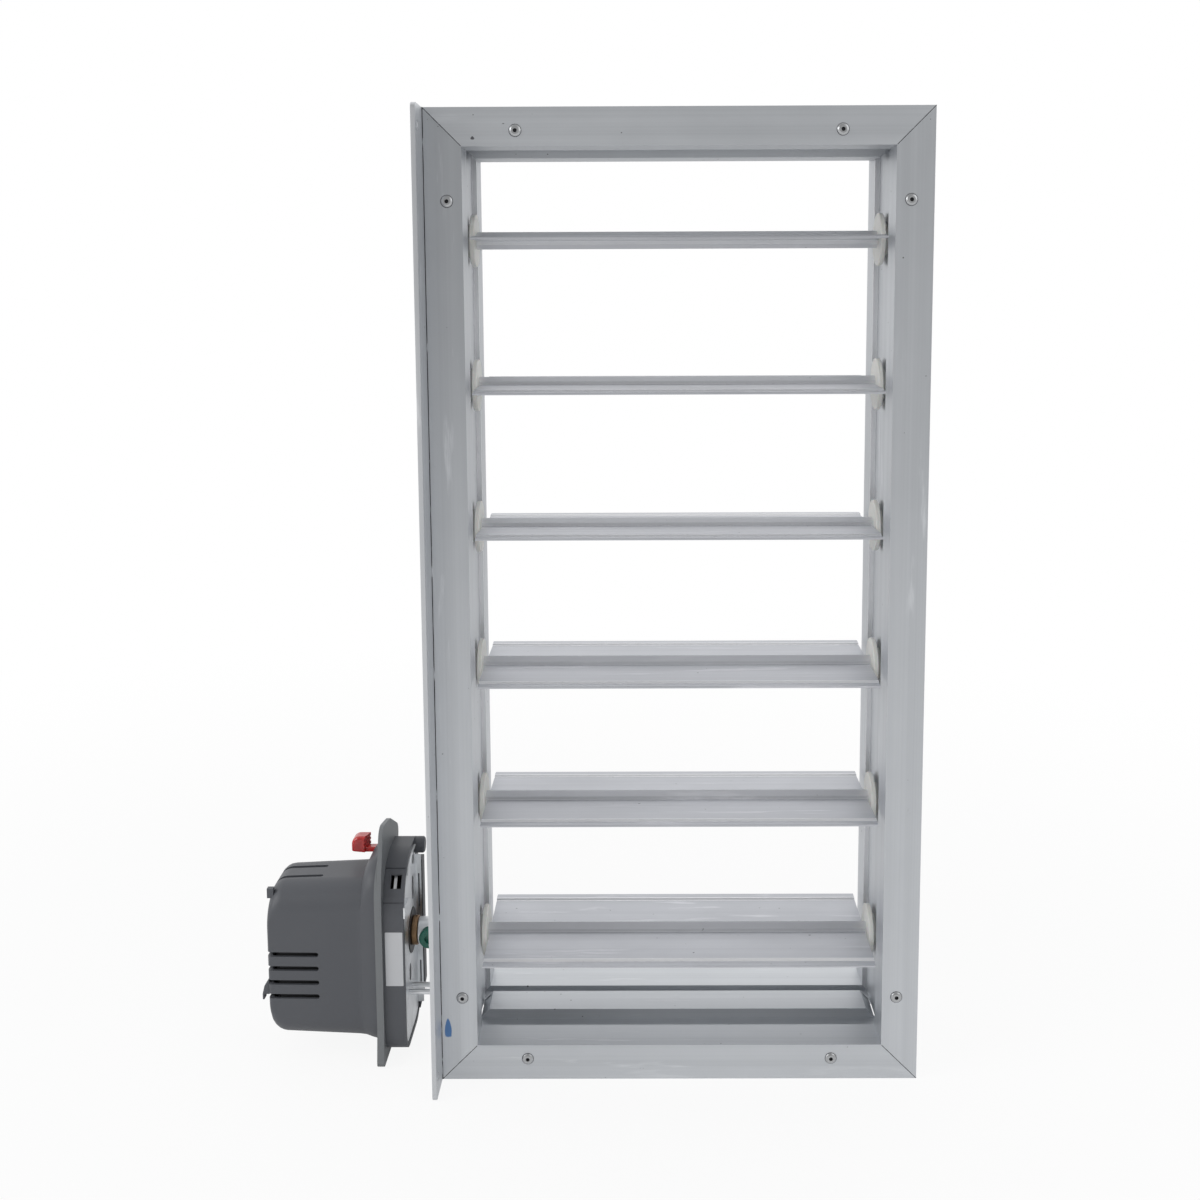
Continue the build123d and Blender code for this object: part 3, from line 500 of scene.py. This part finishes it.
def nylonPlastic(name):
    paint = Paint(name)
    fine = paint.noise(paint.place, nylon["grain"], detail=2)
    cloud = paint.cloud(nylon["cloud"])
    color = paint.mix(cloud.between(*nylon["wearReach"]) * nylon["wear"], nylon["clean"], nylon["worn"])
    rough = fine * nylon["uneven"] + nylon["roughness"]
    return paint.set(color=color, roughness=rough, normal=paint.bump(fine, *nylon["bump"]), **nylon["glow"])


def redPlastic(name):
    paint = Paint(name)
    cloud = paint.noise(paint.place, lever["cloud"])
    color = paint.mix(cloud.between(*lever["deepReach"]), lever["clear"], lever["deep"])
    rough = cloud * lever["uneven"] + lever["roughness"]
    return paint.set(color=color, roughness=rough, **lever["glow"])


# low corner, high corner, tint, strength
scuffMark = ((0.0340, 0.3128), (0.0368, 0.3150), (0.10, 0.10, 0.11), 0.9)
penMark = ((0.0048, -0.3025), (0.0105, -0.2885), (0.03, 0.16, 0.42), 0.85)
bladeTone = (0.945, 0.935, 0.95)
railMetal = millAluminium("railAluminium", along=0, seed=0.0, marks=[scuffMark])
leftMetal = millAluminium("leftStileAluminium", along=2, seed=3.1, topShade=0.42, marks=[penMark], trim=paintedStepHighlight)
rightMetal = millAluminium("rightStileAluminium", along=2, seed=5.3, topShade=0.22, trim=paintedStepHighlight)
plateMetal = millAluminium("plateAluminium", along=2, seed=7.7, tone=(1.08, 1.07, 1.06), rubs=0.35)
bladeMetals = [
    millAluminium(
        f"bladeAluminium{number}", along=0, seed=11.3 * number,
        tone=bladeTone, rubs=0.75, calm=0.25, trim=paintedFacetHighlights,
    )
    for number in range(1, bladeCount + 1)
]
rivetMetal = plainMetal("rivetAluminium", (0.52, 0.53, 0.54), roughness=0.32)
zincMetal = plainMetal("zincSteel", (0.86, 0.88, 0.90), roughness=0.30, grain=300, wear=0.35)
bronzeMetal = plainMetal("sinteredBronze", (0.45, 0.30, 0.16), roughness=0.45)
brassMetal = plainMetal("dullBrass", (0.33, 0.21, 0.12), roughness=0.42, grain=500, wear=0.5)
darkMetal = plainMetal("seamShadow", (0.05, 0.05, 0.055), roughness=0.6)
greyPlastic = mouldedPlastic("housingGrey", (0.088, 0.093, 0.105), roughness=0.42)
# painted light: the housing grey, painted lighter for the flange
flangeLitPlastic = mouldedPlastic("flangeGreyPaintedLight", (0.19, 0.20, 0.208), roughness=0.45)
blackPlastic = mouldedPlastic("blackPlastic", (0.022, 0.022, 0.024), roughness=0.40)
boardPlastic = mouldedPlastic("solderMask", (0.03, 0.17, 0.08), roughness=0.35)
greenEnamel = mouldedPlastic("greenEnamel", (0.012, 0.15, 0.105), roughness=0.25, grain=600, depth=0.03)
stickerPaper = mouldedPlastic("blankSticker", (0.60, 0.61, 0.63), roughness=0.55, grain=900, depth=0.03, dust=0.05)
whiteNylon = nylonPlastic("whiteNylon")
leverRed = redPlastic("leverRed")
print("materials done")


# modelling helpers
rounding = {"width": 0.00035, "segments": 2, "sharpFrom": 32}
thinRounding = {"width": 0.0002}
nylonRounding = {"width": 0.0003, "segments": 3}
merging = {"doubles": 0.000005, "flatBelow": 0.5}
smoothing = {"below": 35, "weight": 80}


def onlyPick(piece):
    if bpy.context.object and bpy.context.object.mode != "OBJECT":
        bpy.ops.object.mode_set(mode="OBJECT")
    bpy.ops.object.select_all(action="DESELECT")
    piece.select_set(True)
    bpy.context.view_layer.objects.active = piece


def editAll(piece):
    onlyPick(piece)
    bpy.ops.object.mode_set(mode="EDIT")
    bpy.ops.mesh.select_all(action="SELECT")


def useModifier(piece, kind, **settings):
    onlyPick(piece)
    modifier = piece.modifiers.new(kind.lower(), kind)
    for name, value in settings.items():
        setattr(modifier, name, value)
    bpy.ops.object.modifier_apply(modifier=modifier.name)
    return piece


def finishPiece(piece, name, body, material, replaced=(), angle=smoothing["below"]):
    onlyPick(piece)
    bpy.ops.object.transform_apply(location=True, rotation=True, scale=True)
    piece.name = name
    piece.data.name = name
    piece.data.materials.clear()
    piece.data.materials.append(material)
    bpy.ops.object.shade_smooth_by_angle(angle=math.radians(angle))
    useModifier(piece, "WEIGHTED_NORMAL", mode="FACE_AREA", weight=smoothing["weight"], keep_sharp=True)
    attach(piece, body)
    if replaced:
        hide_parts(*replaced)
    return piece


def meshCopy(nodeName):
    # the CAD solid's own surface, merged into one clean mesh
    data = nodes[nodeName].data.copy()
    data.materials.clear()
    piece = bpy.data.objects.new(nodeName + "Copy", data)
    bpy.context.scene.collection.objects.link(piece)
    for name in ("custom_normal", "sharp_face", "sharp_edge"):
        if name in data.attributes:
            data.attributes.remove(data.attributes[name])
    editAll(piece)
    bpy.ops.mesh.remove_doubles(threshold=merging["doubles"])
    bpy.ops.mesh.dissolve_limited(angle_limit=math.radians(merging["flatBelow"]))
    bpy.ops.object.mode_set(mode="OBJECT")
    return piece


def softened(nodeName, pieceName, material, slot, width=rounding["width"], segments=rounding["segments"]):
    # the solid with its edges rounded, in place of the plain node
    piece = meshCopy(nodeName)
    useModifier(
        piece, "BEVEL", width=width, segments=segments, limit_method="ANGLE",
        angle_limit=math.radians(rounding["sharpFrom"]), harden_normals=False, use_clamp_overlap=True,
    )
    return finishPiece(piece, pieceName, nodes[nodeName]["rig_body"], material, (nodeName,))


def paintNode(nodeName, material):
    data = nodes[nodeName].data
    data.materials.clear()
    data.materials.append(material)


def turned(rings, count):
    # closed round form about local z, from rings of (radius, height)
    bpy.ops.object.select_all(action="DESELECT")
    radius, height = rings[0]
    bpy.ops.mesh.primitive_circle_add(vertices=count, radius=radius, fill_type="NGON", location=(0, 0, 0))
    piece = bpy.context.object
    editAll(piece)
    bpy.ops.transform.translate(value=(0, 0, height))
    for nextRadius, nextHeight in rings[1:]:
        bpy.ops.mesh.extrude_region_move(TRANSFORM_OT_translate={"value": (0, 0, nextHeight - height)})
        factor = nextRadius / radius
        bpy.ops.transform.resize(value=(factor, factor, 1), center_override=(0, 0, nextHeight))
        radius, height = nextRadius, nextHeight
    bpy.ops.mesh.select_all(action="SELECT")
    bpy.ops.mesh.normals_make_consistent(inside=False)
    bpy.ops.object.mode_set(mode="OBJECT")
    return piece


def sized(piece, width, height):
    piece.scale = (width, height, 1)
    onlyPick(piece)
    bpy.ops.object.transform_apply(scale=True)
    return piece


def roundedPanel(width, height, cornerRadius, segments):
    # flat rounded rectangle about local z
    bpy.ops.object.select_all(action="DESELECT")
    bpy.ops.mesh.primitive_plane_add(size=1, location=(0, 0, 0))
    panel = sized(bpy.context.object, width, height)
    editAll(panel)
    bpy.ops.mesh.bevel(offset=cornerRadius, segments=segments, affect="VERTICES")
    bpy.ops.object.mode_set(mode="OBJECT")
    return panel


def flatSheet(area):
    # rounded sheet, lying flat, of the size between the area's corners
    width, height = (high - low for low, high in zip(area["low"], area["high"]))
    panel = roundedPanel(width, height, area["cornerRadius"], area["segments"])
    return useModifier(panel, "SOLIDIFY", thickness=area["sheet"], offset=0)


def standUp(panel, area):
    # turned to face the front, at the area's place in x and z
    middle = [(low + high) / 2 for low, high in zip(area["low"], area["high"])]
    panel.rotation_euler = (math.radians(90), 0, 0)
    panel.location = (middle[0], area["face"], middle[1])
    return panel


def placedAt(piece, places):
    # one joined piece with a copy at each (location, rotation)
    copies = [piece]
    for _ in places[1:]:
        onlyPick(piece)
        bpy.ops.object.duplicate()
        copies.append(bpy.context.object)
    for copy, (location, rotation) in zip(copies, places):
        copy.location = location
        copy.rotation_euler = rotation
    onlyPick(piece)
    for copy in copies:
        copy.select_set(True)
    bpy.ops.object.join()
    return piece


# frame and blades
frameMetals = {
    "top_rail": railMetal,
    "bottom_rail": railMetal,
    "left_stile": leftMetal,
    "right_stile": rightMetal,
    "side_plate": plateMetal,
}
for node, material in frameMetals.items():
    softened(node, node + "Body", material, "mill_aluminium")
for number in range(1, bladeCount + 1):
    softened(f"blade_{number}", f"bladeBody{number}", bladeMetals[number - 1], "mill_aluminium", **thinRounding)
    softened(f"thrust_disc_{number}", f"thrustdiscBody{number}", whiteNylon, "white_nylon", **nylonRounding)
    softened(f"bush_{number}", f"bushBody{number}", whiteNylon, "white_nylon", **nylonRounding)
    paintNode(f"gear_{number}", whiteNylon)
    paintNode(f"bush_clip_{number}", zincMetal)
for node in ("corner_brackets_front", "corner_brackets_rear"):
    paintNode(node, railMetal)
print("frame and blades done")

frameNodes = ("top_rail", "bottom_rail", "left_stile")
frameLow = [min(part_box(name)[0][i] for name in frameNodes) for i in range(3)]
frameHigh = [max(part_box(name)[1][i] for name in frameNodes) for i in range(3)]
rivet = {
    "fromCorner": 0.060,
    "fromEdge": 0.015,
    "sides": 36,
    "smoothBelow": 40,
    # the dome and its mouth, the stub in the bore, the shadow round the rim: (radius, height over the face)
    "dome": (
        (0.0039, -0.0003), (0.0039, 0.0003), (0.00372, 0.00062), (0.0033, 0.00098), (0.0027, 0.00130),
        (0.0022, 0.00140), (0.00195, 0.00134), (0.00182, 0.0011), (0.00178, -0.0002),
    ),
    "stub": ((0.00178, -0.0002), (0.00178, 0.00012), (0.0010, 0.00030), (0.0004, 0.00034)),
    "shadow": ((0.00415, 0.00002), (0.00415, 0.00004), (0.0040, 0.00006)),
}
rivetMetals = {"dome": rivetMetal, "stub": darkMetal, "shadow": darkMetal}


def frameCorners(inset):
    # x and z of the four corners, moved inwards, and the way inwards
    for x, inX in ((frameLow[0] + inset, 1), (frameHigh[0] - inset, -1)):
        for z, inZ in ((frameLow[2] + inset, 1), (frameHigh[2] - inset, -1)):
            yield x, z, inX, inZ


def rivetSpots(face, turn):
    spots = []
    for inX, inZ in ((rivet["fromCorner"], rivet["fromEdge"]), (rivet["fromEdge"], rivet["fromCorner"])):
        for x in (frameLow[0] + inX, frameHigh[0] - inX):
            for z in (frameLow[2] + inZ, frameHigh[2] - inZ):
                spots.append(((x, face, z), (math.radians(turn), 0, 0)))
    return spots


def addRivets(node, end, face, turn):
    softened(node, f"rivetTails{end}", rivetMetal, "rivet_aluminium", **thinRounding)
    for part, material in rivetMetals.items():
        heads = placedAt(turned(rivet[part], rivet["sides"]), rivetSpots(face, turn))
        name = f"rivet{part.capitalize()}s{end}"
        finishPiece(heads, name, "frame", material, (), rivet["smoothBelow"])


addRivets("corner_rivets_front", "Front", frameLow[1], 90)
addRivets("corner_rivets_rear", "Rear", frameHigh[1], -90)
print("rivets done")

seam = {
    "flange": 0.0247,  # each mitre crosses this width
    "width": 0.00042,
    "wander": 0.00006,
    "steps": 28,
    "wanderSeed": 4,
    "proud": 0.00002,
    "sheet": 0.00003,
    "plateWidth": 0.0006,  # the joint between side plate and stile
    "plateWander": 0.0001,
    "plateSteps": 90,
    "plateInset": 0.0002,
}


def seamLine(length, width, wander, steps):
    # hairline gap along local x, a little uneven
    bpy.ops.object.select_all(action="DESELECT")
    bpy.ops.mesh.primitive_grid_add(x_subdivisions=steps, y_subdivisions=1, size=1, location=(0, 0, 0))
    line = sized(bpy.context.object, length, width)
    editAll(line)
    bpy.ops.transform.vertex_random(offset=wander, seed=seam["wanderSeed"])
    bpy.ops.object.mode_set(mode="OBJECT")
    return useModifier(line, "SOLIDIFY", thickness=seam["sheet"], offset=0)


def addSeams():
    faces = (frameLow[1] - seam["proud"], frameHigh[1] + seam["proud"])
    mitre = seamLine(seam["flange"] * math.sqrt(2), seam["width"], seam["wander"], seam["steps"])
    places = [
        ((x, face, z), (math.radians(90), math.radians(-45 * inX * inZ), 0))
        for face in faces
        for x, z, inX, inZ in frameCorners(seam["flange"] / 2)
    ]
    finishPiece(placedAt(mitre, places), "mitreSeams", "frame", darkMetal)
    joint = seamLine(frameHigh[2] - frameLow[2], seam["plateWidth"], seam["plateWander"], seam["plateSteps"])
    turn = (math.radians(90), math.radians(90), 0)
    places = [((frameLow[0] + seam["plateInset"], face, 0), turn) for face in faces]
    finishPiece(placedAt(joint, places), "sidePlateSeams", "frame", darkMetal)


ridgeEnd = {
    "opening": 0.025,  # from the frame's edge to the clear opening
    "top": 0.0038,
    "foot": -0.0030,
    "width": 0.0226,
    "inside": 0.0006,
    "sheet": 0.0005,
    "cornerRadius": 0.0008,
    "segments": 3,
}


def addRidgeEnds():
    # plates that close the hollow stop ridges at the mitres
    length = (ridgeEnd["top"] - ridgeEnd["foot"]) * math.sqrt(2)
    panel = roundedPanel(length, ridgeEnd["width"], ridgeEnd["cornerRadius"], ridgeEnd["segments"])
    useModifier(panel, "SOLIDIFY", thickness=ridgeEnd["sheet"], offset=0)
    middle = (ridgeEnd["top"] + ridgeEnd["foot"]) / 2
    places = [
        (
            (x + inX * (middle + ridgeEnd["inside"]), 0, z + inZ * (middle - ridgeEnd["inside"])),
            (0, math.radians(-45 * inX * inZ), 0),
        )
        for x, z, inX, inZ in frameCorners(ridgeEnd["opening"])
    ]
    finishPiece(placedAt(panel, places), "ridgeEndPlates", "frame", railMetal)


addSeams()
addRidgeEnds()
print("seams and ridge ends done")


# actuator and drive
plainNodes = {
    "side_plate_screws": zincMetal,
    "shaft_bearing": bronzeMetal,
    "actuator_gearmotor": blackPlastic,
    "actuator_circuit_board": boardPlastic,
    "lever_pin": zincMetal,
}
# piece, material, slot, width and segments of the rounded edges
roundedNodes = {
    "actuator_cover": ("actuatorcoverShell", greyPlastic, "housing_grey", 0.0005, 3),
    "actuator_flange": ("actuatorflangeShell", flangeLitPlastic, "housing_grey", 0.0005, 3),
    "actuator_base": ("actuatorbaseShell", greyPlastic, "housing_grey", 0.0005, 3),
    "actuator_back_plate": ("backPlateSheet", zincMetal, "zinc_steel", 0.0001, 2),
    "actuator_cover_latch": ("coverLatchHook", greyPlastic, "housing_grey", 0.0004, 2),
    "anti_rotation_rods": ("antiRotationRods", zincMetal, "zinc_steel", 0.0003, 2),
    "drive_shaft": ("driveShaftBar", zincMetal, "zinc_steel", 0.0003, 2),
    "shaft_coupling": ("couplingSleeve", zincMetal, "zinc_steel", 0.0004, 2),
    "clamp_bolt": ("clampBoltHead", greenEnamel, "green_enamel", 0.0003, 2),
    "hub_ring": ("hubRingBody", brassMetal, "brass_ring", 0.0004, 2),
    "actuator_hub": ("hubCollars", blackPlastic, "black_plastic", 0.0005, 2),
    "release_lever": ("releaseLeverGrip", leverRed, "red_plastic", 0.0008, 3),
}
for node, material in plainNodes.items():
    paintNode(node, material)
for node, settings in roundedNodes.items():
    softened(node, *settings)

sticker = {
    "low": (-0.0384, -0.2738),
    "high": (-0.0260, -0.2340),
    "face": -0.03757,
    "cornerRadius": 0.0006,
    "segments": 6,
    "sheet": 0.00012,
}


def addSticker():
    # bare sticker on the base's front wall
    panel = standUp(flatSheet(sticker), sticker)
    finishPiece(panel, "blankSticker", "frame", stickerPaper)


# a black sheet inside the housing, a painted shadow behind the vent slots
shadeHood = {
    "mouth": (-0.0600, -0.0035, -0.2600),  # middle of its open end
    "size": (0.0554, 0.1060),
    "cornerRadius": 0.0170,
    "segments": 8,
    "depth": 0.0550,
    "rim": 0.0030,
    "taper": (0.88, 0.945, 1),
    "wall": 0.0004,
}


def addShadeHood():
    # painted shadow: a thin black hood round the motor darkens what is seen through the vent slots
    panel = roundedPanel(*shadeHood["size"], shadeHood["cornerRadius"], shadeHood["segments"])
    editAll(panel)
    bpy.ops.mesh.delete(type="ONLY_FACE")
    bpy.ops.mesh.select_all(action="SELECT")
    bpy.ops.mesh.extrude_region_move(TRANSFORM_OT_translate={"value": (0, 0, shadeHood["depth"])})
    bpy.ops.mesh.extrude_region_move(TRANSFORM_OT_translate={"value": (0, 0, shadeHood["rim"])})
    bpy.ops.transform.resize(value=shadeHood["taper"], center_override=(0, 0, shadeHood["depth"] + shadeHood["rim"]))
    bpy.ops.mesh.edge_face_add()
    bpy.ops.mesh.select_all(action="SELECT")
    bpy.ops.mesh.normals_make_consistent(inside=False)
    bpy.ops.object.mode_set(mode="OBJECT")
    useModifier(panel, "SOLIDIFY", thickness=shadeHood["wall"], offset=-1)
    # local x lies along y, local y along z, and the hood is drawn out towards -x
    x, y, z = shadeHood["mouth"]
    panel.matrix_world = Matrix(((0, 0, -1, x), (-1, 0, 0, y), (0, 1, 0, z), (0, 0, 0, 1)))
    finishPiece(panel, "motorShadeHood", "frame", blackPlastic)


sideFold = {
    "low": (-0.0256, -0.3165),
    "high": (-0.0214, -0.2005),
    "face": 0.02030,
    "cornerRadius": 0.0007,
    "segments": 4,
    "sheet": 0.0003,
    "slots": ((0.030, 0.026), (-0.034, 0.018)),  # place and length
    "slotOffset": 0.0002,
    "slotWidth": 0.0011,
    "slotRadius": 0.0005,
    "cutDepth": 0.002,
}


def addSideFold():
    # the back plate's edge, folded up along the base's far wall, with two punched slots
    panel = flatSheet(sideFold)
    for place, length in sideFold["slots"]:
        slot = roundedPanel(sideFold["slotWidth"], length, sideFold["slotRadius"], sideFold["segments"])
        useModifier(slot, "SOLIDIFY", thickness=sideFold["cutDepth"], offset=0)
        slot.location = (sideFold["slotOffset"], place, 0)
        onlyPick(slot)
        bpy.ops.object.transform_apply(location=True)
        useModifier(panel, "BOOLEAN", operation="DIFFERENCE", object=slot, solver="EXACT")
        onlyPick(slot)
        bpy.ops.object.delete()
    finishPiece(standUp(panel, sideFold), "backPlateFold", "frame", zincMetal)


addSticker()
addShadeHood()
addSideFold()
print("actuator done")
